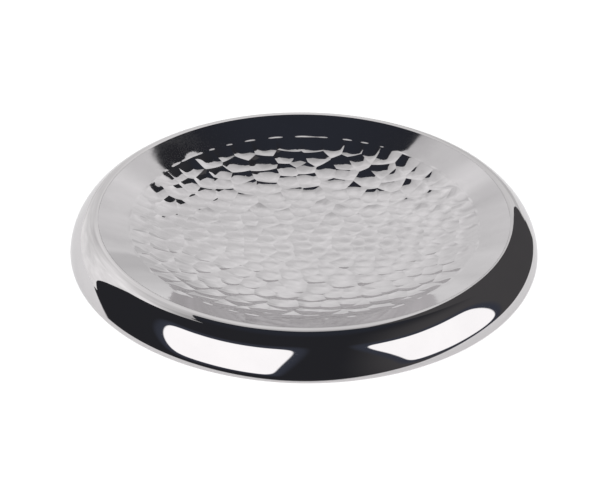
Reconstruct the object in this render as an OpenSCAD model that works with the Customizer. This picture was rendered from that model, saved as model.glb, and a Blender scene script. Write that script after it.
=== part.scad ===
// Round centerpiece tray with a hammered dish and a broad rolled rim.
// Two sheets are lapped and brazed inside the crest, and a base plate closes the hollow between them.
// The tray stands on four pads: z = 0 is the table, and the Z axis is the tray's own axis.

/* [Overall] */
// Greatest diameter of the rim
overall_d = 300; // [270:1:360]
// Thickness of the dish sheet
dish_t = 1; // [0.7:0.1:1.4]
// Thickness of the rim sheet
rim_t = 1; // [0.7:0.1:1.4]
// Thickness of the base sheet
base_t = 1; // [0.7:0.1:1.4]

/* [Rim] */
// Width of the rim, from its crest line out to its greatest diameter
rim_w = 18.4; // [15:0.1:24]
// Radius of the crest
crest_round_r = 12.5; // [8:0.1:15]
// Lean of the crest at the seam with the dish, past its top, in degrees
seam_lean = 2; // [0:0.5:8]
// Radius of the turn at the foot of the rim
foot_r = 7; // [5:0.1:9]
// Lean of the rim's face where it runs into the turn at its foot, in degrees
face_lean = 6.3; // [0:0.1:9]
// Width of the flat flange that the rim turns in under the tray
flange_w = 25; // [15:0.5:35]

/* [Dish] */
// Width of the smooth margin, from the seam in to the hammered field
margin_w = 19.8; // [12:0.1:26]
// Slope of the smooth margin, in degrees
margin_slope = 21; // [16:0.5:26]
// Slope of the hammered field at its outer edge, in degrees
field_slope = 23; // [16:0.5:28]
// Diameter of the shallow floor in the middle of the dish
floor_d = 120; // [80:1:150]
// Slope of the dish at the edge of the floor, in degrees
floor_slope = 7; // [4:0.5:12]
// Clear height between the base plate and the middle of the dish
floor_gap = 2.7; // [2.2:0.1:8]

/* [Joints] */
// Width of the dish's edge that laps under the crest
dish_lap_w = 2.5; // [1.5:0.1:3.5]
// Width of the base plate's edge that laps on the flange
base_lap_w = 7; // [4:0.5:12]
// Gap between lapped sheets and at their seams
seam_gap = 0.1; // [0.05:0.05:0.2]
// Length over which a lapped edge steps off its sheet
joggle_w = 2; // [1:0.1:4]
// Width of the braze fillet under the crest
crest_fillet_w = 0.8; // [0.4:0.1:1.2]
// Width of the braze fillet on the flange
base_fillet_w = 1.2; // [0.6:0.1:3]

/* [Vent plug] */
// Diameter of the vent hole in the base plate
vent_d = 6; // [4:0.1:10]
// Clearance of the plug's stem in the hole, all round
plug_clear = 0.05; // [0.02:0.01:0.2]
// Width of the plug's head beyond the hole
plug_head_w = 2.2; // [1:0.1:4]
// Thickness of the plug's head
plug_head_t = 0.8; // [0.4:0.1:1.2]
// Width by which the plug's barb overlaps the hole's edge
plug_barb_w = 0.5; // [0.2:0.1:1]
// Height of the plug's barb
plug_barb_h = 1.4; // [0.8:0.1:2]

/* [Foot pads] */
// Number of pads
pad_count = 4; // [3:1:6]
// Diameter of a pad
pad_d = 14; // [8:0.5:20]
// Thickness of a pad
pad_t = 2; // [1.5:0.1:4]
// Radius of a pad's lower edge
pad_edge_r = 0.6; // [0.2:0.1:1]
// Distance from the inner edge of the flange in to a pad's centre
pad_inset = 20; // [15:0.5:30]
// Direction of the first pad from the X axis, in degrees
pad_start_a = 45; // [0:1:90]

/* [Hidden] */
// Longest step along the round stretches of the rim, of the dish and of a pad's edge, in degrees
rim_step = 4;
dish_step = 1;
pad_step = 30;
// Sides of the small round pieces
small_fn = 48;

// Angles about the crest: the rim's edge at the seam and the step in the dish beside it
seam_a = 90 + seam_lean;
step_a = seam_a + arc_angle(seam_gap, crest_round_r);
lap_depth = rim_t + seam_gap;

// Radii of the rings that the profiles turn on
crest_r = overall_d / 2 - rim_w;
wall_r = crest_r + crest_round_r * cos(step_a);
field_r = wall_r - margin_w;
floor_r = floor_d / 2;
foot_ring_r = overall_d / 2 - foot_r;
flange_r = foot_ring_r - flange_w;

// Arc radii of the dish, each set by the slopes at its two ends
floor_arc_r = floor_r / sin(floor_slope);
field_arc_r = (field_r - floor_r) / (sin(field_slope) - sin(floor_slope));

// Heights, from the table up
base_z = pad_t;
floor_z = base_z + base_t + floor_gap + dish_t;
field_arc_z = floor_z + floor_arc_r * (1 - cos(floor_slope)) + field_arc_r * cos(floor_slope);
field_z = field_arc_z - field_arc_r * cos(field_slope);
wall_z = field_z + margin_w * tan(margin_slope);

// Arc centres, as points of the section in the X and Z plane
floor_c = [0, floor_z + floor_arc_r];
field_c = [floor_r - field_arc_r * sin(floor_slope), field_arc_z];
crest_c = [crest_r, wall_z - crest_round_r * sin(step_a)];
foot_c = [foot_ring_r, base_z + foot_r];

// The face is the one arc that runs smoothly into both the crest and the turn at the foot
face_dir = [cos(face_lean), sin(face_lean)];
crest_to_foot = foot_c - crest_c;
turn_diff = foot_r - crest_round_r;
face_reach = (crest_to_foot * crest_to_foot - turn_diff * turn_diff)
    / (2 * (crest_to_foot * face_dir + turn_diff));
face_r = face_reach + foot_r;
face_c = foot_c - face_reach * face_dir;
face_top = atan2(crest_c[1] - face_c[1], crest_c[0] - face_c[0]);

// Directions out from the rim at the end of the dish's lapped edge and at the end of the braze fillet
lap_a = inside_angle(dish_lap_w);
fillet_a = inside_angle(dish_lap_w + crest_fillet_w);

base_lap_r = flange_r + base_lap_w;
base_lap_z = base_z + rim_t + seam_gap;
plug_stem_r = vent_d / 2 - plug_clear;
pad_ring_r = flange_r - pad_inset;

// Angle of a stretch of arc
function arc_angle(length, r) = length / r * 180 / PI;

// One point at angle a about c
function polar(c, r, a) = c + r * [cos(a), sin(a)];

// Points along an arc about c, from angle a0 to a1, in steps no longer than step
function arc(c, r, a0, a1, step) =
    let (n = max(1, ceil(abs(a1 - a0) / step)))
    [for (i = [0:n]) polar(c, r, a0 + (a1 - a0) * i / n)];

// Direction out from the rim at a length along its inner skin, from the seam over the crest
function inside_angle(length) =
    let (past_crest = length - (seam_a - face_top) * (crest_round_r - rim_t) * PI / 180)
    face_top - arc_angle(past_crest, (past_crest < 0 ? crest_round_r : face_r) - rim_t);

// One point of the rim and the points along a stretch of it, a depth inside the outer skin,
// on the crest above face_top and on the face below it
function rim_point(a, depth) =
    a > face_top ? polar(crest_c, crest_round_r - depth, a) : polar(face_c, face_r - depth, a);
function rim_arc(a0, a1, depth) =
    a1 >= face_top ? arc(crest_c, crest_round_r - depth, a0, a1, rim_step)
    : a0 <= face_top ? arc(face_c, face_r - depth, a0, a1, rim_step)
    : concat(
        arc(crest_c, crest_round_r - depth, a0, face_top, rim_step),
        tail(arc(face_c, face_r - depth, face_top, a1, rim_step))
    );

// The same as an arc, from one slope of the dish to another
function bowl(c, r, s0, s1) = arc(c, r, s0 - 90, s1 - 90, dish_step);

// A run of points without its first, or in the other direction
function tail(p) = [for (i = [1:len(p) - 1]) p[i]];
function turned(p) = [for (i = [len(p) - 1:-1:0]) p[i]];

// The hammered field from the middle out to the margin, a depth below the upper skin
function field_skin(depth) = concat(
    bowl(floor_c, floor_arc_r + depth, 0, floor_slope),
    tail(bowl(field_c, field_arc_r + depth, floor_slope, field_slope))
);

// One point of the margin at radius r, a depth below the upper skin
function margin_point(r, depth) =
    [r, wall_z - (wall_r - r) * tan(margin_slope) - depth / cos(margin_slope)];

// The dish's edge that laps under the crest, a depth inside the crest's outer skin
function lap_skin(depth) = rim_arc(step_a, lap_a, depth);

// The rim from the seam over the crest and down to the flange's edge, a depth inside the outer skin
function rim_skin(depth) = concat(
    rim_arc(seam_a, lap_a, depth),
    tail(rim_arc(lap_a, fillet_a, depth)),
    tail(rim_arc(fillet_a, face_lean, depth)),
    tail(arc(foot_c, foot_r - depth, face_lean, -90, rim_step)),
    [[flange_r, base_z + depth]]
);

// Inner sheet: a shallow bowl whose edge steps down to lap under the crest
module hammered_dish() {
    color("gainsboro")
        rotate_extrude()
            polygon(concat(
                field_skin(0),
                [margin_point(wall_r, 0)],
                lap_skin(lap_depth),
                turned(lap_skin(lap_depth + dish_t)),
                [margin_point(wall_r - joggle_w, dish_t)],
                turned(field_skin(dish_t))
            ));
}

// Outer sheet: crest, face, turn and flange in one rolled section
module rim_shell() {
    color("silver")
        rotate_extrude()
            polygon(concat(rim_skin(0), turned(rim_skin(rim_t))));
}

// Base disc, flush with the flange below, with a stepped edge that laps on it
module base_plate() {
    color("lightgray")
        rotate_extrude()
            polygon([
                [vent_d / 2, base_z],
                [flange_r - seam_gap, base_z],
                [flange_r - seam_gap, base_lap_z],
                [base_lap_r, base_lap_z],
                [base_lap_r, base_lap_z + base_t],
                [flange_r - seam_gap, base_lap_z + base_t],
                [flange_r - seam_gap - joggle_w, base_z + base_t],
                [vent_d / 2, base_z + base_t]
            ]);
}

// Braze fillet in the corner between the crest and the end of the dish's lapped edge
module crest_braze() {
    color("khaki")
        rotate_extrude()
            polygon([
                rim_point(lap_a, rim_t),
                rim_point(fillet_a, rim_t),
                rim_point(lap_a, lap_depth + dish_t)
            ]);
}

// Braze fillet in the corner between the flange and the end of the base plate's lapped edge
module base_braze() {
    color("khaki")
        rotate_extrude()
            polygon([
                [base_lap_r, base_z + rim_t],
                [base_lap_r + base_fillet_w, base_z + rim_t],
                [base_lap_r, base_lap_z + base_t]
            ]);
}

// Push-in plug: a head below the base plate, a stem in its hole and a barb above it
module vent_plug() {
    color("dimgray")
        rotate_extrude($fn = small_fn)
            polygon([
                [0, base_z - plug_head_t],
                [vent_d / 2 + plug_head_w / 2, base_z - plug_head_t],
                [vent_d / 2 + plug_head_w, base_z - plug_head_t / 2],
                [vent_d / 2 + plug_head_w, base_z],
                [plug_stem_r, base_z],
                [plug_stem_r, base_z + base_t],
                [vent_d / 2 + plug_barb_w, base_z + base_t],
                [plug_stem_r - plug_barb_w, base_z + base_t + plug_barb_h],
                [0, base_z + base_t + plug_barb_h]
            ]);
}

// Soft pad with a rounded lower edge, stuck under the base plate
module foot_pad(i) {
    color("whitesmoke")
        rotate(pad_start_a + 360 * (i - 1) / pad_count)
            translate([pad_ring_r, 0, 0])
                rotate_extrude($fn = small_fn)
                    polygon(concat(
                        [[0, 0]],
                        arc([pad_d / 2 - pad_edge_r, pad_edge_r], pad_edge_r, -90, 0, pad_step),
                        [[pad_d / 2, pad_t], [0, pad_t]]
                    ));
}

hammered_dish();
rim_shell();
base_plate();
crest_braze();
base_braze();
vent_plug();
for (i = [1:pad_count]) {
    foot_pad(i);
}
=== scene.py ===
import math
import random

import bmesh
import bpy
from mathutils import Matrix, Vector
from mathutils.geometry import delaunay_2d_cdt


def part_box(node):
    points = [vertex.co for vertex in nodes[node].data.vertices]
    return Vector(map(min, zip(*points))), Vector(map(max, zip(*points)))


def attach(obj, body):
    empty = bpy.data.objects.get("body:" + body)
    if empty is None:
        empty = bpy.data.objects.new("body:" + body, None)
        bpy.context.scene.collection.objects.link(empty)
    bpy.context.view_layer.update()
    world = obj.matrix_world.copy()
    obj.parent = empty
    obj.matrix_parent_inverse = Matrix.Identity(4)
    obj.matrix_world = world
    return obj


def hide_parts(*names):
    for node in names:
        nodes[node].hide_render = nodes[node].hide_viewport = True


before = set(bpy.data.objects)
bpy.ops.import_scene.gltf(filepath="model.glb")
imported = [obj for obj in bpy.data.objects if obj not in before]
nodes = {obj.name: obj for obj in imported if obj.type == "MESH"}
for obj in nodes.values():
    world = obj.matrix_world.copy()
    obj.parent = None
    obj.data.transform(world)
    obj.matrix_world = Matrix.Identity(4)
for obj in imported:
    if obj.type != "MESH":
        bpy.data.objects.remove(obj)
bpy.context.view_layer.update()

scene = bpy.context.scene
scene.view_settings.view_transform = "Standard"
mergeDistance = 1e-6


# Small helpers for node trees and meshes

def addNode(tree, kind, values=None, **settings):
    # a node with its settings, and its inputs by name or number: a socket is linked, the rest is a value
    node = tree.nodes.new(kind)
    for key, value in settings.items():
        setattr(node, key, value)
    for key, value in (values or {}).items():
        socket = node.inputs[key]
        if isinstance(value, bpy.types.NodeSocket):
            tree.links.new(value, socket)
        else:
            socket.default_value = value
    return node


def mathOp(tree, operation, *values, clamp=False):
    node = addNode(tree, "ShaderNodeMath", dict(enumerate(values)), operation=operation, use_clamp=clamp)
    return node.outputs[0]


def vectorOp(tree, operation, *values):
    node = addNode(tree, "ShaderNodeVectorMath", dict(enumerate(values)), operation=operation)
    return node.outputs["Value" if operation in ("DOT_PRODUCT", "LENGTH") else 0]


def scaled(tree, vector, scale):
    return addNode(tree, "ShaderNodeVectorMath", {0: vector, "Scale": scale}, operation="SCALE").outputs[0]


def softStep(tree, value, low, high):
    # 0 below low, 1 above high, eased between
    return addNode(tree, "ShaderNodeMapRange", {"Value": value, "From Min": low, "From Max": high},
                   interpolation_type="SMOOTHSTEP").outputs[0]


def between(tree, share, low, high):
    return addNode(tree, "ShaderNodeMix", {0: share, 2: low, 3: high}).outputs[0]


def mixColor(tree, share, first, second, blend="MIX"):
    return addNode(tree, "ShaderNodeMix", {0: share, 6: first, 7: second}, data_type="RGBA",
                   blend_type=blend).outputs[2]


def noise(tree, values, dimensions="3D"):
    return addNode(tree, "ShaderNodeTexNoise", values, noise_dimensions=dimensions).outputs[0]


def rgba(color):
    return tuple(color) + (1,)


def arcPoints(centre, radius, fromAngle, toAngle, count):
    # points of a section, r and z, along an arc
    steps = [math.radians(fromAngle + (toAngle - fromAngle) * i / count) for i in range(count + 1)]
    return [(centre[0] + radius * math.cos(a), centre[1] + radius * math.sin(a)) for a in steps]


def markSharp(bm, degrees):
    # smooth faces, with crisp edges where the sheet turns by more than this
    for face in bm.faces:
        face.smooth = True
    for edge in bm.edges:
        edge.smooth = not (edge.is_manifold and edge.calc_face_angle() > math.radians(degrees))


# Camera at the photograph's angle

cameraPlace = {
    "target": (0, 0, 0.009),     # middle of the tray at its widest ring
    "distance": 1.2,
    "elevation": 32.15,          # degrees
    "across": 0.00252,           # the target's place right of and below the picture's middle, in metres
    "down": -0.00564,
    "roll": 0.0111,              # radians
    "focalPixels": 1859.9,
    "imageWidth": 600,
    "sensorWidth": 36,
}


def makeCamera(place):
    e = math.radians(place["elevation"])
    forward = Vector((0, math.cos(e), -math.sin(e)))
    right = Vector((1, 0, 0))
    down = Vector((0, -math.sin(e), -math.cos(e)))
    c, s = math.cos(place["roll"]), math.sin(place["roll"])
    axisX = right * c - down * s
    axisY = -(right * s + down * c)
    spot = Vector(place["target"]) - right * place["across"] - down * place["down"]
    spot -= forward * place["distance"]
    data = bpy.data.cameras.new("camera")
    data.sensor_fit = "HORIZONTAL"
    data.sensor_width = place["sensorWidth"]
    data.lens = data.sensor_width * place["focalPixels"] / place["imageWidth"]
    camera = bpy.data.objects.new("camera", data)
    scene.collection.objects.link(camera)
    axes = Matrix((axisX, axisY, -forward)).transposed().to_4x4()
    camera.matrix_world = Matrix.Translation(spot) @ axes
    scene.camera = camera


makeCamera(cameraPlace)
print("camera placed")


# Studio: a pale table, a white sweep behind and on the left, two softboxes in front, dark elsewhere
# Directions are from the tray's middle: x to the right, y to the back, z up

studio = {
    "sweepLevel": 0.98,
    "mottle": 0.42,              # how far the sweep's brightness wanders, and its pattern
    "mottlePattern": 8.1,
    "mottleScale": 5.0,
    "mottleDetail": 3.0,
    # the sweep's brightness by elevation in degrees: palest at mid height, grey at its top
    "sweepTones": ((0, 0.98), (18, 0.96), (31, 0.98), (40, 1.06), (46, 1.05), (54, 0.84), (63, 0.60)),
    "horizonTone": 0.78,         # of the strip low down behind on the right
    "horizonFrom": (0.02, 0.16),             # where it begins, as x, and its top in degrees
    "horizonTop": (13.0, 15.0),
    "panelTone": 1.18,           # of the panel on the left, and where it sets in, as x to the left
    "panelFrom": (0.40, 0.75),
    "softboxLevel": 1.62,
    "softboxCorner": 8.0,        # power of the softboxes' outline: more gives tighter corners
    "softboxEdge": (0.85, 1.15),             # their soft edge and the spill about them: 1 is the outline
    "softboxSpill": (1.0, 6.0),
    "haloColor": (0.055, 0.062, 0.085),      # of the spill
    "darkColor": (0.028, 0.029, 0.034),
    "darkRight": (0.085, 0.083, 0.086),      # the dark on the right, with a card of the same colour
    "darkRightFrom": (0.25, 0.75),
    "ceilingColor": (0.032, 0.036, 0.048),   # the dark high up behind, its middle and its reach as cosines
    "ceilingMiddle": (0, 0.25, 0.97),
    "ceilingReach": (0.90, 1.0),
    # parts of the sweep, each by the normals, pointing into it, of the planes through the middle that bound it:
    # behind, behind on the right and left, and the panel on the left
    "sweep": (((-1, 0.54, -0.019), (-0.3, 1, -0.484), (0.352, 1, -0.484), (0, 0.1, 1)),
              ((0.45, 1, -1.05), (-0.6, 1, 0), (0, 0.1, 1)),
              ((-1, 0.368, -0.5), (-0.265, 1, -0.307), (0.45, 1, 0.20), (0, 0.1, 1)),
              ((-1, 0, -0.48), (0.45, 1, 0.20))),
    "sweepEdge": 0.0025,         # softness of the sweep's edges, and rounding where its parts meet, as sines
    "sweepRounding": 0.05,
    # a dark card behind on the right, by the corners of its slanted outline, and its distance behind the middle
    "flagOutline": ((0.38, -0.5), (1.0, -0.5), (1.0, 0.9), (0.165, 0.9), (0.165, 0.31), (0.333, 0.0)),
    "flagBehind": 0.30,
    "floorHalf": 1.6,
    "floorColor": (0.86, 0.86, 0.86),
    "floorFill": (0.78, 0.64),   # what the camera and the metal see beyond the lit floor itself
    "standMiddle": (0.012, 0.022),           # the stand that the metal sees under the tray: middle, half sizes
    "standHalf": (0.176, 0.174),
    "standWidens": (0.05, 0.53),             # from this y on, by this much for each metre further back
    "standCorner": 2.5,          # power of its rounded end, and the softness of its outline
    "standEdge": 0.02,
    "leftLine": (0.449, -0.150, 0.002),      # left of the middle it reaches to this line: slant, y and softness
}
# softboxes by the azimuth and elevation of their edges, in degrees, azimuth 0 to the front and + to the right:
# left edge, right edge, lower edge and upper edge, each as a value at the middle and a slant
softboxes = (
    {"left": (-65, -0.235), "right": (-8.8, 0.16), "low": (-20, -0.11), "high": (40, 0.11), "middle": (-34, 8)},
    {"left": (41, -0.31), "right": (94.5, -0.12), "low": (-15, 0.08), "high": (37.5, -0.12), "middle": (66, 8)},
)


def makeWorld(s):
    world = bpy.data.worlds.new("studio")
    scene.world = world
    world.use_nodes = True
    tree = world.node_tree
    tree.nodes.clear()
    direction = addNode(tree, "ShaderNodeTexCoord").outputs["Generated"]
    x, y, z = addNode(tree, "ShaderNodeSeparateXYZ", {0: direction}).outputs
    azimuth = mathOp(tree, "DEGREES", mathOp(tree, "ARCTAN2", x, mathOp(tree, "MULTIPLY", y, -1.0)))
    elevation = mathOp(tree, "DEGREES", mathOp(tree, "ARCSINE", z))

    def inward(normals):
        # above 0 on the side of all the planes that their normals point to
        depth = None
        for normal in normals:
            part = vectorOp(tree, "DOT_PRODUCT", direction, Vector(normal).normalized())
            depth = part if depth is None else mathOp(tree, "MINIMUM", depth, part)
        return depth

    def span(value, along, low, high, middle):
        # 0 halfway between the two edges of a softbox, 1 at either edge
        shift = mathOp(tree, "SUBTRACT", along, float(middle))
        lowAt = mathOp(tree, "MULTIPLY_ADD", shift, low[1], float(low[0]))
        highAt = mathOp(tree, "MULTIPLY_ADD", shift, high[1], float(high[0]))
        reach = mathOp(tree, "SUBTRACT", highAt, lowAt)
        share = mathOp(tree, "DIVIDE", mathOp(tree, "SUBTRACT", value, lowAt), reach)
        return mathOp(tree, "ABSOLUTE", mathOp(tree, "MULTIPLY_ADD", share, 2.0, -1.0))

    def boxOutward(box):
        # below 1 in a slanted rectangle with rounded corners
        wide = span(azimuth, elevation, box["left"], box["right"], box["middle"][1])
        tall = span(elevation, azimuth, box["low"], box["high"], box["middle"][0])
        wide, tall = (mathOp(tree, "POWER", part, s["softboxCorner"]) for part in (wide, tall))
        return mathOp(tree, "ADD", wide, tall)

    def toned(brightness, mask, tone):
        # times the tone where the mask is 1
        return mathOp(tree, "MULTIPLY", brightness, mathOp(tree, "MULTIPLY_ADD", mask, tone - 1.0, 1.0))

    sweep = None
    for normals in s["sweep"]:
        part = inward(normals)
        sweep = part if sweep is None else mathOp(tree, "SMOOTH_MAX", sweep, part, s["sweepRounding"])
    sweep = softStep(tree, sweep, -s["sweepEdge"], s["sweepEdge"])
    ramp = addNode(tree, "ShaderNodeValToRGB", {0: mathOp(tree, "DIVIDE", elevation, 90.0)})
    stops = ramp.color_ramp.elements
    while len(stops) < len(s["sweepTones"]):
        stops.new(0.5)
    for stop, (angle, tone) in zip(stops, s["sweepTones"]):
        stop.position = angle / 90
        stop.color = (tone, tone, tone, 1)
    cloud = noise(tree, {"Vector": direction, "W": s["mottlePattern"], "Scale": s["mottleScale"],
                         "Detail": s["mottleDetail"]}, "4D")
    wander = mathOp(tree, "MULTIPLY_ADD", cloud, 2 * s["mottle"], 1.0 - s["mottle"])
    horizon = mathOp(tree, "SUBTRACT", softStep(tree, x, *s["horizonFrom"]),
                     softStep(tree, elevation, *s["horizonTop"]), clamp=True)
    wander = toned(wander, horizon, s["horizonTone"])
    onPanel = softStep(tree, mathOp(tree, "MULTIPLY", x, -1.0), *s["panelFrom"])
    wander = toned(wander, onPanel, s["panelTone"])
    paper = scaled(tree, ramp.outputs[0], mathOp(tree, "MULTIPLY", wander, s["sweepLevel"]))

    # the dark room, and over it the spill, the sweep and the softboxes
    high = softStep(tree, vectorOp(tree, "DOT_PRODUCT", direction, s["ceilingMiddle"]), *s["ceilingReach"])
    onRight = softStep(tree, x, *s["darkRightFrom"])
    nearBox = mathOp(tree, "MINIMUM", boxOutward(softboxes[0]), boxOutward(softboxes[1]))
    halo = mathOp(tree, "SUBTRACT", 1.0, softStep(tree, nearBox, *s["softboxSpill"]))
    glow = mathOp(tree, "SUBTRACT", 1.0, softStep(tree, nearBox, *s["softboxEdge"]))
    room = rgba(s["darkColor"])
    for mask, color in ((high, rgba(s["ceilingColor"])), (onRight, rgba(s["darkRight"])),
                        (halo, rgba(s["haloColor"])), (sweep, paper), (glow, rgba([s["softboxLevel"]] * 3))):
        room = mixColor(tree, mask, room, color)

    # the camera sees plain white, and the metal sees the pale sweep behind the tray
    seen = addNode(tree, "ShaderNodeLightPath").outputs["Is Camera Ray"]
    shown = mixColor(tree, seen, room, (1, 1, 1, 1))
    background = addNode(tree, "ShaderNodeBackground", {"Color": shown, "Strength": 1.0})
    addNode(tree, "ShaderNodeOutputWorld", {"Surface": background.outputs[0]})


def stagePlane(name, corners, paint):
    mesh = bpy.data.meshes.new(name)
    mesh.from_pydata(corners, [], [range(len(corners))])
    mesh.materials.append(paint)
    plane = bpy.data.objects.new(name, mesh)
    scene.collection.objects.link(plane)
    return plane


def newPaint(name):
    paint = bpy.data.materials.new(name)
    paint.use_nodes = True
    paint.node_tree.nodes.clear()
    return paint, paint.node_tree


def makeFloor(s):
    # a plain pale floor; the metal sees only the stand under the tray, and the studio past it
    paint, tree = newPaint("paleFloor")
    path = addNode(tree, "ShaderNodeLightPath").outputs
    place = addNode(tree, "ShaderNodeTexCoord").outputs["Object"]
    x, y, z = addNode(tree, "ShaderNodeSeparateXYZ", {0: place}).outputs

    # the stand: straight sides at the back, a rounded end at the front
    behind = mathOp(tree, "MAXIMUM", mathOp(tree, "SUBTRACT", y, s["standWidens"][0]), 0.0)
    halfWidth = mathOp(tree, "MULTIPLY_ADD", behind, s["standWidens"][1], s["standHalf"][0])
    across = mathOp(tree, "DIVIDE", mathOp(tree, "SUBTRACT", x, s["standMiddle"][0]), halfWidth)
    ahead = mathOp(tree, "DIVIDE", mathOp(tree, "SUBTRACT", s["standMiddle"][1], y), s["standHalf"][1])
    across = mathOp(tree, "POWER", mathOp(tree, "ABSOLUTE", across), s["standCorner"])
    ahead = mathOp(tree, "POWER", mathOp(tree, "MAXIMUM", 0.0, ahead), s["standCorner"])
    within = mathOp(tree, "MULTIPLY", mathOp(tree, "ADD", across, ahead), -1.0)
    stand = softStep(tree, within, -1.0 - s["standEdge"], -1.0 + s["standEdge"])
    slant, level, soft = s["leftLine"]
    leftSide = softStep(tree, mathOp(tree, "MULTIPLY_ADD", x, slant, y), level - soft, level + soft)
    leftSide = mathOp(tree, "MULTIPLY", leftSide, mathOp(tree, "LESS_THAN", x, 0.0))
    near = mathOp(tree, "MAXIMUM", stand, leftSide)

    mirrored = mathOp(tree, "MAXIMUM", path["Is Glossy Ray"], path["Is Transmission Ray"])
    fill = mathOp(tree, "MULTIPLY", mirrored, s["floorFill"][1])
    fill = mathOp(tree, "MULTIPLY_ADD", path["Is Camera Ray"], s["floorFill"][0], fill)
    paper = addNode(tree, "ShaderNodeBsdfDiffuse", {"Color": rgba(s["floorColor"])})
    glow = addNode(tree, "ShaderNodeEmission", {"Strength": fill})
    pale = addNode(tree, "ShaderNodeAddShader", {0: paper.outputs[0], 1: glow.outputs[0]})
    clear = addNode(tree, "ShaderNodeBsdfTransparent")
    far = mathOp(tree, "MULTIPLY", mirrored, mathOp(tree, "SUBTRACT", 1.0, near))
    above = addNode(tree, "ShaderNodeMixShader", {0: far, 1: pale.outputs[0], 2: clear.outputs[0]})
    below = addNode(tree, "ShaderNodeNewGeometry").outputs["Backfacing"]
    both = addNode(tree, "ShaderNodeMixShader", {0: below, 1: above.outputs[0], 2: clear.outputs[0]})
    addNode(tree, "ShaderNodeOutputMaterial", {"Surface": both.outputs[0]})
    half = s["floorHalf"]
    stagePlane("floor", [(-half, -half, 0), (half, -half, 0), (half, half, 0), (-half, half, 0)], paint)


def makeFlag(s):
    # out of the camera's sight, it only shows in the metal
    paint, tree = newPaint("darkFlag")
    cloth = addNode(tree, "ShaderNodeEmission", {"Color": rgba(s["darkRight"])})
    addNode(tree, "ShaderNodeOutputMaterial", {"Surface": cloth.outputs[0]})
    flag = stagePlane("flag", [(x, s["flagBehind"], z) for x, z in s["flagOutline"]], paint)
    flag.visible_camera = False
    flag.visible_diffuse = False
    flag.visible_shadow = False


makeWorld(studio)
makeFloor(studio)
makeFlag(studio)
print("studio built")


# Finishes: roughness runs from the least to the most, and heights are in metres

steelEdgeTint = 0.90             # steel seen at a low angle mirrors a little less
steelFinishes = {
    "hammeredSteel": {"color": (0.60, 0.582, 0.592), "patchScale": 28.0, "roughness": (0.03, 0.06),
                      "dulling": 0.06, "waveScale": 160.0, "waveHeight": 0.000006},
    "polishedSteel": {"color": (0.60, 0.582, 0.588), "patchScale": 22.0, "roughness": (0.02, 0.04),
                      "dulling": 0.04, "waveScale": 45.0, "waveHeight": 0.00006},
}
turnedFinish = {
    "color": (0.55, 0.55, 0.55), "patchScale": 20.0, "roughness": (0.26, 0.34), "dulling": 0.08,
    "ringScale": 2600.0, "ringHeight": 0.00003,
}
speckledFinishes = {
    "brazeMetal": {"colors": ((0.78, 0.62, 0.38), (0.52, 0.40, 0.26)), "scale": 180.0,
                   "roughness": (0.28, 0.45), "grain": 0.0001, "metallic": 1.0},
    "plugPlastic": {"colors": ((0.050, 0.050, 0.053), (0.065, 0.065, 0.068)), "scale": 400.0,
                    "roughness": (0.48, 0.58), "grain": 0.00003, "metallic": 0.0},
    "padRubber": {"colors": ((0.66, 0.66, 0.63), (0.60, 0.60, 0.57)), "scale": 300.0,
                  "roughness": (0.50, 0.62), "grain": 0.00003, "metallic": 0.0},
}


def newGroup(name, inputs, outputs):
    group = bpy.data.node_groups.new(name, "ShaderNodeTree")
    for socketName, kind, value in inputs:
        socket = group.interface.new_socket(socketName, in_out="INPUT", socket_type=kind)
        if value is not None:
            socket.default_value = value
    for socketName, kind in outputs:
        group.interface.new_socket(socketName, in_out="OUTPUT", socket_type=kind)
    return group


def makeHandledPolish():
    # soft cloudy patches left by handling and wiping, for every bare metal
    group = newGroup("handledPolish", (
        ("Vector", "NodeSocketVector", None), ("Patch Scale", "NodeSocketFloat", 30.0),
        ("Least Roughness", "NodeSocketFloat", 0.03), ("Most Roughness", "NodeSocketFloat", 0.06),
        ("Dulling", "NodeSocketFloat", 0.04)),
        (("Roughness", "NodeSocketFloat"), ("Tone", "NodeSocketColor")))
    start = addNode(group, "NodeGroupInput").outputs
    cloud = noise(group, {"Vector": start["Vector"], "Scale": start["Patch Scale"], "Detail": 4.0,
                          "Roughness": 0.6})
    patchRange = (0.35, 0.70)        # of the cloud, from clear metal to a full patch
    patch = softStep(group, cloud, *patchRange)
    rough = between(group, patch, start["Least Roughness"], start["Most Roughness"])
    tone = mathOp(group, "SUBTRACT", 1.0, mathOp(group, "MULTIPLY", patch, start["Dulling"]))
    grey = addNode(group, "ShaderNodeCombineColor", {0: tone, 1: tone, 2: tone}).outputs[0]
    addNode(group, "NodeGroupOutput", {"Roughness": rough, "Tone": grey})
    return group


handledPolish = makeHandledPolish()


def newFinish(name, **fixed):
    material = bpy.data.materials.new(name)
    material.use_nodes = True
    tree = material.node_tree
    shader = tree.nodes["Principled BSDF"]
    for key, value in fixed.items():
        shader.inputs[key].default_value = value
    place = addNode(tree, "ShaderNodeTexCoord").outputs["Object"]
    return material, tree, shader, place


def addPolish(tree, shader, place, f):
    polish = addNode(tree, "ShaderNodeGroup", {
        "Vector": place, "Patch Scale": f["patchScale"], "Least Roughness": f["roughness"][0],
        "Most Roughness": f["roughness"][1], "Dulling": f["dulling"]}, node_tree=handledPolish).outputs
    color = mixColor(tree, 1.0, rgba(f["color"]), polish["Tone"], "MULTIPLY")
    tree.links.new(color, shader.inputs["Base Color"])
    tree.links.new(polish["Roughness"], shader.inputs["Roughness"])


def addBump(tree, shader, height, distance, strength=1.0):
    bump = addNode(tree, "ShaderNodeBump", {"Strength": strength, "Distance": distance, "Height": height})
    tree.links.new(bump.outputs[0], shader.inputs["Normal"])


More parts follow.
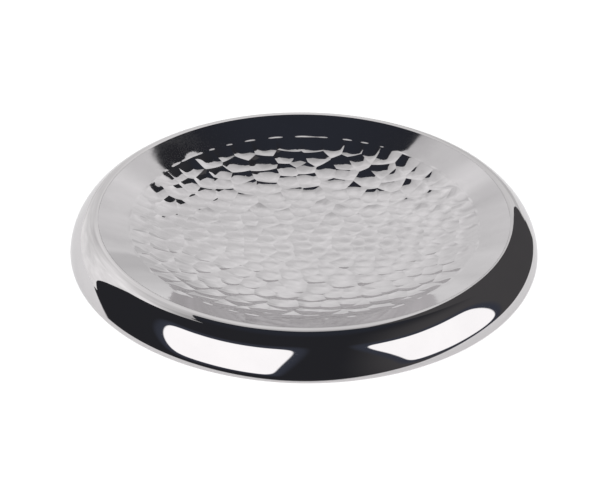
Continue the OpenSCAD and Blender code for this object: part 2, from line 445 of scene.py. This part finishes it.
def makeSteel(name, f):
    # mirror polish, with the faint waves of a spun sheet
    tint = rgba([steelEdgeTint] * 3)
    material, tree, shader, place = newFinish(name, **{"Metallic": 1.0, "Specular Tint": tint})
    addPolish(tree, shader, place, f)
    wave = noise(tree, {"Vector": place, "Scale": f["waveScale"], "Detail": 1.0})
    addBump(tree, shader, wave, f["waveHeight"])
    return material


def makeTurnedSteel(f):
    # satin sheet with the fine rings of a turned finish
    material, tree, shader, place = newFinish("baseSteel", Metallic=1.0)
    radius = vectorOp(tree, "LENGTH", vectorOp(tree, "MULTIPLY", place, (1, 1, 0)))
    along = mathOp(tree, "MULTIPLY", radius, f["ringScale"])
    addPolish(tree, shader, place, f)
    rings = noise(tree, {"W": along, "Scale": 1.0, "Detail": 3.0}, "1D")
    addBump(tree, shader, rings, f["ringHeight"], strength=0.5)
    return material


def makeSpeckled(name, f):
    # mottled colour with a fine grain, for the braze metal, the plug and the pads
    material, tree, shader, place = newFinish(name, Metallic=f["metallic"])
    mottle = noise(tree, {"Vector": place, "Scale": f["scale"], "Detail": 5.0})
    patchRange = (0.3, 0.7)          # of the mottle, from the first colour to the second
    patch = softStep(tree, mottle, *patchRange)
    color = mixColor(tree, patch, rgba(f["colors"][0]), rgba(f["colors"][1]))
    tree.links.new(color, shader.inputs["Base Color"])
    tree.links.new(between(tree, patch, *f["roughness"]), shader.inputs["Roughness"])
    grainScale = f["scale"] * 12     # the grain is finer than the mottle
    fine = noise(tree, {"Vector": place, "Scale": grainScale, "Detail": 2.0})
    addBump(tree, shader, fine, f["grain"], strength=0.4)
    return material


hammeredSteel, polishedSteel = (makeSteel(name, f) for name, f in steelFinishes.items())
baseSteel = makeTurnedSteel(turnedFinish)
brazeMetal, plugPlastic, padRubber = (makeSpeckled(name, f) for name, f in speckledFinishes.items())
print("finishes made")


# Rim: a rolled section turned about the tray's axis

rimShape = {
    "outerRadius": 0.150,
    "width": 0.0184,             # from the crest line out to the widest ring
    "crestRadius": 0.0125,
    "seamLean": 2.0,             # degrees that the crest runs on inwards past its top, to the seam
    "footRadius": 0.007,
    "faceLean": 6.3,             # degrees above level that the face looks where it meets the foot
    "flangeWidth": 0.025,        # turned in below, from the foot
    "sheet": 0.001,
    "segments": 480,
    "crestPoints": 26, "facePoints": 30, "footPoints": 24,
    "sharpFrom": 30,             # edges that turn by more degrees stay crisp
}


def rimSection(s):
    low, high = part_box("rim_shell")
    crest = Vector((s["outerRadius"] - s["width"], high.z - s["crestRadius"]))
    foot = Vector((s["outerRadius"] - s["footRadius"], low.z + s["footRadius"]))
    lean = math.radians(s["faceLean"])
    face = Vector((math.cos(lean), math.sin(lean)))
    span = foot - crest
    turn = s["footRadius"] - s["crestRadius"]
    reach = (span.dot(span) - turn * turn) / (2 * (span.dot(face) + turn))
    centre = foot - face * reach
    top = math.degrees(math.atan2(crest.y - centre.y, crest.x - centre.x))

    def skin(depth):
        points = arcPoints(crest, s["crestRadius"] - depth, 90 + s["seamLean"], top, s["crestPoints"])
        points += arcPoints(centre, reach + s["footRadius"] - depth, top, s["faceLean"], s["facePoints"])[1:]
        points += arcPoints(foot, s["footRadius"] - depth, s["faceLean"], -90, s["footPoints"])[1:]
        return points + [(foot.x - s["flangeWidth"], low.z + depth)]

    return skin(0) + skin(s["sheet"])[::-1]


def turnSection(name, section, segments, sharpFrom):
    bm = bmesh.new()
    rings = []
    for i in range(segments):
        a = 2 * math.pi * i / segments
        rings.append([bm.verts.new((r * math.sin(a), -r * math.cos(a), z)) for r, z in section])
    for i, ring in enumerate(rings):
        after = rings[(i + 1) % segments]
        for j in range(len(section)):
            k = (j + 1) % len(section)
            bm.faces.new((ring[j], ring[k], after[k], after[j]))
    bmesh.ops.recalc_face_normals(bm, faces=bm.faces)
    markSharp(bm, sharpFrom)
    mesh = bpy.data.meshes.new(name)
    bm.to_mesh(mesh)
    bm.free()
    return mesh


rimMesh = turnSection("polishedRim", rimSection(rimShape), rimShape["segments"], rimShape["sharpFrom"])
rimMesh.materials.append(polishedSteel)
polishedRim = bpy.data.objects.new("polishedRim", rimMesh)
scene.collection.objects.link(polishedRim)
print("rim turned,", len(rimMesh.polygons), "faces")


# Dish: hammer marks laid out in rings, each a shallow hollow, with ridges where neighbours meet

dishShape = {
    "fieldRadius": 0.111264,     # of the hammered field, and of the seam with the rim
    "seamRadius": 0.131064,
    "marginSlope": 21.0,         # degrees: of the smooth margin, and of the bowl at the field's edge
    "fieldSlope": 23.0,
    "floorRadius": 0.060,        # of the flatter middle, and the slope at its edge
    "floorSlope": 7.0,
    "sheet": 0.001,
    "lapWidth": 0.0025,          # the edge that laps under the crest
    "seamGap": 0.0001,
    "joggle": 0.002,             # the edge steps off the sheet over this length
    "blend": 0.0018,             # the margin eases into the ridges of the outer marks over this width
    "blendSteps": (0.12, 0.25, 0.40, 0.55, 0.70, 0.85, 1.0),
    "marginSteps": (0.3, 0.5, 0.7, 0.85, 1.0),   # rings of the margin, as shares of its width
    "lapPoints": 4, "fieldPoints": 12, "floorPoints": 6,
    "sharpFrom": 7,              # edges that turn by more degrees stay crisp
}
hammerMarks = {
    "rings": 10,
    "acrossRing": 0.0142,        # spacing of the marks along a ring
    "outerInset": 0.0056,        # from the field's edge in to the outer marks
    "jitterAlong": 0.40,
    "jitterAcross": 0.38,
    "outerJitter": 0.3,          # share of that left to the outer marks
    "edgeDistance": 0.007,       # a hollow steepens out to this distance from its mark, then runs straight
    "edgeSlope": 0.1667,         # its slope there
    "steepening": 3.0,           # power of its rise: more gives a flatter middle
    "meanLift": 0.00028,         # the hollows are set this far below the smooth bowl
    "easeWidth": 0.007,          # the outer marks grow shallower towards the field's edge over this width
    "easeShare": 0.45,           # and have this share of their depth there
    "leastRidge": 0.0004,        # shorter ridges are drawn into one point
    "unevenness": 0.00012,       # slow waves of the sheet under the marks
    "unevenScale": 70.0,
    "detail": 3,                 # how often each cell is divided
    "seed": 7,
}


def bowlHeights(s):
    # arcs of the smooth dish under the marks, from its slopes, as radii and heights
    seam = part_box("hammered_dish")[1]
    sinFloor, cosFloor = math.sin(math.radians(s["floorSlope"])), math.cos(math.radians(s["floorSlope"]))
    sinField, cosField = math.sin(math.radians(s["fieldSlope"])), math.cos(math.radians(s["fieldSlope"]))
    floorArc = s["floorRadius"] / sinFloor
    fieldArc = (s["fieldRadius"] - s["floorRadius"]) / (sinField - sinFloor)
    fieldHeight = seam.z - (s["seamRadius"] - s["fieldRadius"]) * math.tan(math.radians(s["marginSlope"]))
    fieldCentre = fieldHeight + fieldArc * cosField
    floorHeight = fieldCentre - fieldArc * cosFloor - floorArc * (1 - cosFloor)
    return {"floorArc": floorArc, "fieldArc": fieldArc, "fieldHeight": fieldHeight, "fieldCentre": fieldCentre,
            "floorCentre": floorHeight + floorArc, "fieldShift": s["floorRadius"] - fieldArc * sinFloor}


bowl = bowlHeights(dishShape)


def layMarks(s, fieldRadius):
    # centres of the marks, ring by ring, and outside the field a twin of each mark of the outer two rings
    rng = random.Random(s["seed"])
    outer = fieldRadius - s["outerInset"]
    step = outer / (s["rings"] - 1)
    marks, twins = [], []
    for k in range(s["rings"]):
        radius = step * k
        count = max(1, round(2 * math.pi * radius / s["acrossRing"]))
        start = rng.random()
        for i in range(count):
            along = (i + start + rng.uniform(-1, 1) * s["jitterAlong"]) / count * 2 * math.pi
            last = k == s["rings"] - 1
            across = radius + rng.uniform(-1, 1) * s["jitterAcross"] * step * (s["outerJitter"] if last else 1)
            marks.append(Vector((across * math.sin(along), -across * math.cos(along))))
            if k >= s["rings"] - 2:
                far = 2 * fieldRadius - across
                twins.append(Vector((far * math.sin(along), -far * math.cos(along))))
    # a ring of points further out closes the map
    guardCount, guardRadius = 90, 1.5 * fieldRadius
    turns = (2 * math.pi * i / guardCount for i in range(guardCount))
    return marks + twins + [Vector((math.sin(a), -math.cos(a))) * guardRadius for a in turns]


def makeMarkMap(points, fieldRadius):
    # triangles between neighbouring marks, each with the point as far from all three of its marks,
    # or with the nearest point of the field's edge where one of them is a twin
    tolerance = 1e-7
    verts, _, faces, *_ = delaunay_2d_cdt(points, [], [], 0, tolerance)
    mesh = bpy.data.meshes.new("markMap")
    mesh.from_pydata([(v.x, v.y, 0) for v in verts], [], faces)
    corner = mesh.attributes.new("ridgeCorner", "FLOAT_VECTOR", "FACE")
    centre = mesh.attributes.new("markCentre", "FLOAT_VECTOR", "POINT")
    for v, place in zip(verts, centre.data):
        place.vector = (v.x, v.y, 0)
    for face, place in zip(faces, corner.data):
        a, b, c = (verts[i] for i in face)
        b, c = b - a, c - a
        d = 2 * b.cross(c)
        bb, cc = b.dot(b), c.dot(c)
        ridge = Vector((a.x + (c.y * bb - b.y * cc) / d, a.y + (b.x * cc - c.x * bb) / d, 0))
        if len({verts[i].length < fieldRadius for i in face}) == 2:
            ridge = ridge.normalized() * fieldRadius
        place.vector = ridge
    return mesh


def makeHammerTree(bowlSizes):
    tree = bpy.data.node_groups.new("hammeredField", "GeometryNodeTree")
    tree.interface.new_socket("Mark Map", in_out="INPUT", socket_type="NodeSocketGeometry")
    sizes = {}
    for name, value in bowlSizes.items():
        socket = tree.interface.new_socket(name, in_out="INPUT", socket_type="NodeSocketFloat")
        sizes[name] = (socket.identifier, value)
    detail = tree.interface.new_socket("Detail", in_out="INPUT", socket_type="NodeSocketInt")
    finish = tree.interface.new_socket("Finish", in_out="INPUT", socket_type="NodeSocketMaterial")
    tree.interface.new_socket("Field", in_out="OUTPUT", socket_type="NodeSocketGeometry")
    start = addNode(tree, "NodeGroupInput").outputs
    markMap = start["Mark Map"]

    def step(kind, values=None, **settings):
        return addNode(tree, kind, values, **settings).outputs[0]

    def stored(name):
        return step("GeometryNodeInputNamedAttribute", {"Name": name}, data_type="FLOAT_VECTOR")

    # one flat cell for each mark, split into a fan about the mark's centre
    cells = step("GeometryNodeDualMesh", {0: markMap})
    outside = mathOp(tree, "GREATER_THAN", vectorOp(tree, "LENGTH", stored("markCentre")), start["fieldRadius"])
    cells = step("GeometryNodeDeleteGeometry", {"Geometry": cells, "Selection": outside}, domain="FACE")
    cells = step("GeometryNodeSetPosition", {"Geometry": cells, "Position": stored("ridgeCorner")})
    cells = step("GeometryNodeMergeByDistance", {"Geometry": cells, "Distance": start["leastRidge"]})
    raised = addNode(tree, "GeometryNodeExtrudeMesh", {"Mesh": cells, "Offset Scale": 0.0}, mode="FACES")
    mesh, top = raised.outputs["Mesh"], raised.outputs["Top"]
    fan = step("GeometryNodeScaleElements", {"Geometry": mesh, "Selection": top,
                                             "Scale": 0.0, "Center": stored("markCentre")})
    fan = step("GeometryNodeMergeByDistance", {"Geometry": fan, "Distance": mergeDistance})
    fine = step("GeometryNodeSubdivideMesh", {"Mesh": fan, "Level": start["Detail"]})

    # the outer edge is a true circle
    edgeFaces = step("GeometryNodeInputMeshEdgeNeighbors")
    onEdge = step("FunctionNodeCompare", {2: edgeFaces, 3: 1}, data_type="INT", operation="EQUAL")
    edgePoint = step("GeometryNodeFieldOnDomain", {0: onEdge}, domain="EDGE", data_type="BOOLEAN")
    here = step("GeometryNodeInputPosition")
    onCircle = scaled(tree, vectorOp(tree, "NORMALIZE", here), start["fieldRadius"])
    fine = step("GeometryNodeSetPosition", {"Geometry": fine, "Selection": edgePoint, "Position": onCircle})

    # height of the smooth bowl at this radius
    radius = vectorOp(tree, "LENGTH", here)

    def arcHeight(across, arc, centre):
        square = mathOp(tree, "MULTIPLY", across, across)
        under = mathOp(tree, "SUBTRACT", mathOp(tree, "MULTIPLY", arc, arc), square)
        return mathOp(tree, "SUBTRACT", centre, mathOp(tree, "SQRT", under))

    floor = arcHeight(radius, start["floorArc"], start["floorCentre"])
    pastShift = mathOp(tree, "SUBTRACT", radius, start["fieldShift"])
    field = arcHeight(pastShift, start["fieldArc"], start["fieldCentre"])
    base = between(tree, mathOp(tree, "LESS_THAN", radius, start["floorRadius"]), field, floor)

    # each hollow is a flat bowl about its own mark, so neighbours meet in a ridge
    nearest = addNode(tree, "GeometryNodeProximity", {0: markMap}, target_element="POINTS").outputs["Distance"]
    within = mathOp(tree, "MINIMUM", nearest, start["edgeDistance"])
    rise = mathOp(tree, "POWER", mathOp(tree, "DIVIDE", within, start["edgeDistance"]), start["steepening"])
    rise = mathOp(tree, "MULTIPLY", rise, mathOp(tree, "DIVIDE", start["edgeDistance"], start["steepening"]))
    rise = mathOp(tree, "ADD", rise, mathOp(tree, "SUBTRACT", nearest, within))
    hollow = mathOp(tree, "MULTIPLY", rise, start["edgeSlope"])
    hollow = mathOp(tree, "SUBTRACT", hollow, start["meanLift"])
    inside = mathOp(tree, "DIVIDE", mathOp(tree, "SUBTRACT", start["fieldRadius"], radius), start["easeWidth"])
    ease = between(tree, softStep(tree, inside, 0.0, 1.0), start["easeShare"], 1.0)
    hollow = mathOp(tree, "MULTIPLY", hollow, ease)
    sway = noise(tree, {"Vector": here, "Scale": start["unevenScale"], "Detail": 1.0})
    sway = mathOp(tree, "MULTIPLY", mathOp(tree, "SUBTRACT", sway, 0.5),
                  mathOp(tree, "MULTIPLY", start["unevenness"], 2.0))
    height = mathOp(tree, "ADD", base, mathOp(tree, "ADD", hollow, sway))
    lift = step("ShaderNodeCombineXYZ", {2: height})
    shaped = step("GeometryNodeSetPosition", {"Geometry": fine, "Offset": lift})
    whole = step("GeometryNodeRealizeInstances", {0: shaped})
    clad = step("GeometryNodeSetMaterial", {"Geometry": whole, "Material": start["Finish"]})
    addNode(tree, "NodeGroupOutput", {"Field": clad})
    return tree, sizes, detail.identifier, finish.identifier


def hammerField(marks, shape):
    markMesh = makeMarkMap(layMarks(marks, shape["fieldRadius"]), shape["fieldRadius"])
    sizes = {name: marks[name] for name in ("edgeDistance", "edgeSlope", "steepening", "meanLift", "easeWidth",
                                            "easeShare", "leastRidge", "unevenness", "unevenScale")}
    sizes.update({name: shape[name] for name in ("fieldRadius", "floorRadius")})
    arcs = ("floorArc", "floorCentre", "fieldArc", "fieldCentre", "fieldShift")
    sizes.update({name: bowl[name] for name in arcs})
    tree, sockets, detailId, finishId = makeHammerTree(sizes)
    worker = bpy.data.objects.new("hammerField", markMesh)
    scene.collection.objects.link(worker)
    modifier = worker.modifiers.new("hammer", "NODES")
    modifier.node_group = tree
    for identifier, value in sockets.values():
        modifier[identifier] = value
    modifier[detailId] = marks["detail"]
    modifier[finishId] = hammeredSteel
    done = bpy.data.meshes.new_from_object(worker.evaluated_get(bpy.context.evaluated_depsgraph_get()))
    worker.modifiers.remove(modifier)
    bpy.data.objects.remove(worker)
    return done


def dishSection(s):
    # from the field's edge over the smooth margin, round the edge that laps under the crest, and back below:
    # radius, height, and how much of the ridges' height is left
    sheet = s["sheet"]
    slope = math.tan(math.radians(s["marginSlope"]))
    section = []
    for t in s["blendSteps"]:
        out = s["blend"] * t
        section.append((s["fieldRadius"] + out, bowl["fieldHeight"] + out * slope, 1 - t * t * (3 - 2 * t)))
    for t in s["marginSteps"]:
        out = (s["seamRadius"] - s["fieldRadius"]) * t
        section.append((s["fieldRadius"] + out, bowl["fieldHeight"] + out * slope, 0))

    crestRadius = rimShape["crestRadius"]
    crest = (rimShape["outerRadius"] - rimShape["width"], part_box("rim_shell")[1].z - crestRadius)
    underCrest = crestRadius - rimShape["sheet"]
    seamAngle = 90 + rimShape["seamLean"]
    stepAngle = seamAngle + math.degrees(s["seamGap"] / crestRadius)
    lapAngle = seamAngle - math.degrees(s["lapWidth"] / underCrest)
    upper = underCrest - s["seamGap"]
    skin = arcPoints(crest, upper, stepAngle, lapAngle, s["lapPoints"])
    skin += arcPoints(crest, upper - sheet, lapAngle, stepAngle, s["lapPoints"])

    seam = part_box("hammered_dish")[1]
    thickness = sheet / math.cos(math.radians(s["marginSlope"]))
    skin.append((s["seamRadius"] - s["joggle"], seam.z - s["joggle"] * slope - thickness))
    fieldArc, floorArc = bowl["fieldArc"] + sheet, bowl["floorArc"] + sheet
    for i in range(s["fieldPoints"]):
        a = math.radians(s["fieldSlope"] + (s["floorSlope"] - s["fieldSlope"]) * i / (s["fieldPoints"] - 1))
        skin.append((bowl["fieldShift"] + fieldArc * math.sin(a), bowl["fieldCentre"] - fieldArc * math.cos(a)))
    for i in range(1, s["floorPoints"] + 1):
        a = math.radians(s["floorSlope"] * (1 - i / (s["floorPoints"] + 1)))
        skin.append((floorArc * math.sin(a), bowl["floorCentre"] - floorArc * math.cos(a)))
    return section + [(r, z, 0) for r, z in skin]


def finishDish(mesh, s):
    # the margin, the lap and the plain skin below are grown from the field's edge, ring by ring
    bm = bmesh.new()
    bm.from_mesh(mesh)
    bmesh.ops.remove_doubles(bm, verts=bm.verts, dist=mergeDistance)
    edges = [e for e in bm.edges if e.is_boundary]
    lift = {v: v.co.z - bowl["fieldHeight"] for e in edges for v in e.verts}
    for r, z, share in dishSection(s):
        grown = bmesh.ops.extrude_edge_only(bm, edges=edges)["geom"]
        edges = [e for e in grown if isinstance(e, bmesh.types.BMEdge) and e.is_boundary]
        fresh = [v for v in grown if isinstance(v, bmesh.types.BMVert)]
        older = {}
        for v in fresh:
            old = next(e.other_vert(v) for e in v.link_edges if e.other_vert(v) in lift)
            older[v] = lift[old]
            out = Vector((v.co.x, v.co.y)).normalized()
            v.co = (out.x * r, out.y * r, z + share * lift[old])
        lift = older
    bmesh.ops.contextual_create(bm, geom=edges)
    bmesh.ops.recalc_face_normals(bm, faces=bm.faces)
    markSharp(bm, s["sharpFrom"])
    bm.to_mesh(mesh)
    bm.free()
    return mesh


dishMesh = finishDish(hammerField(hammerMarks, dishShape), dishShape)
hammeredDish = bpy.data.objects.new("hammeredDish", dishMesh)
scene.collection.objects.link(hammeredDish)
print("dish hammered,", len(dishMesh.polygons), "faces")


# Pieces and finishes meet the frame

for piece, node, slot in ((polishedRim, "rim_shell", "polished_steel"),
                          (hammeredDish, "hammered_dish", "hammered_steel")):
    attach(piece, "root")
    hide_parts(node)
finishes = {"base_plate": baseSteel, "crest_braze": brazeMetal, "base_braze": brazeMetal,
            "vent_plug": plugPlastic}
finishes.update({name: padRubber for name in nodes if name.startswith("foot_pad")})
for name, finish in finishes.items():
    nodes[name].data.materials.clear()
    nodes[name].data.materials.append(finish)
print("pieces joined to the frame")
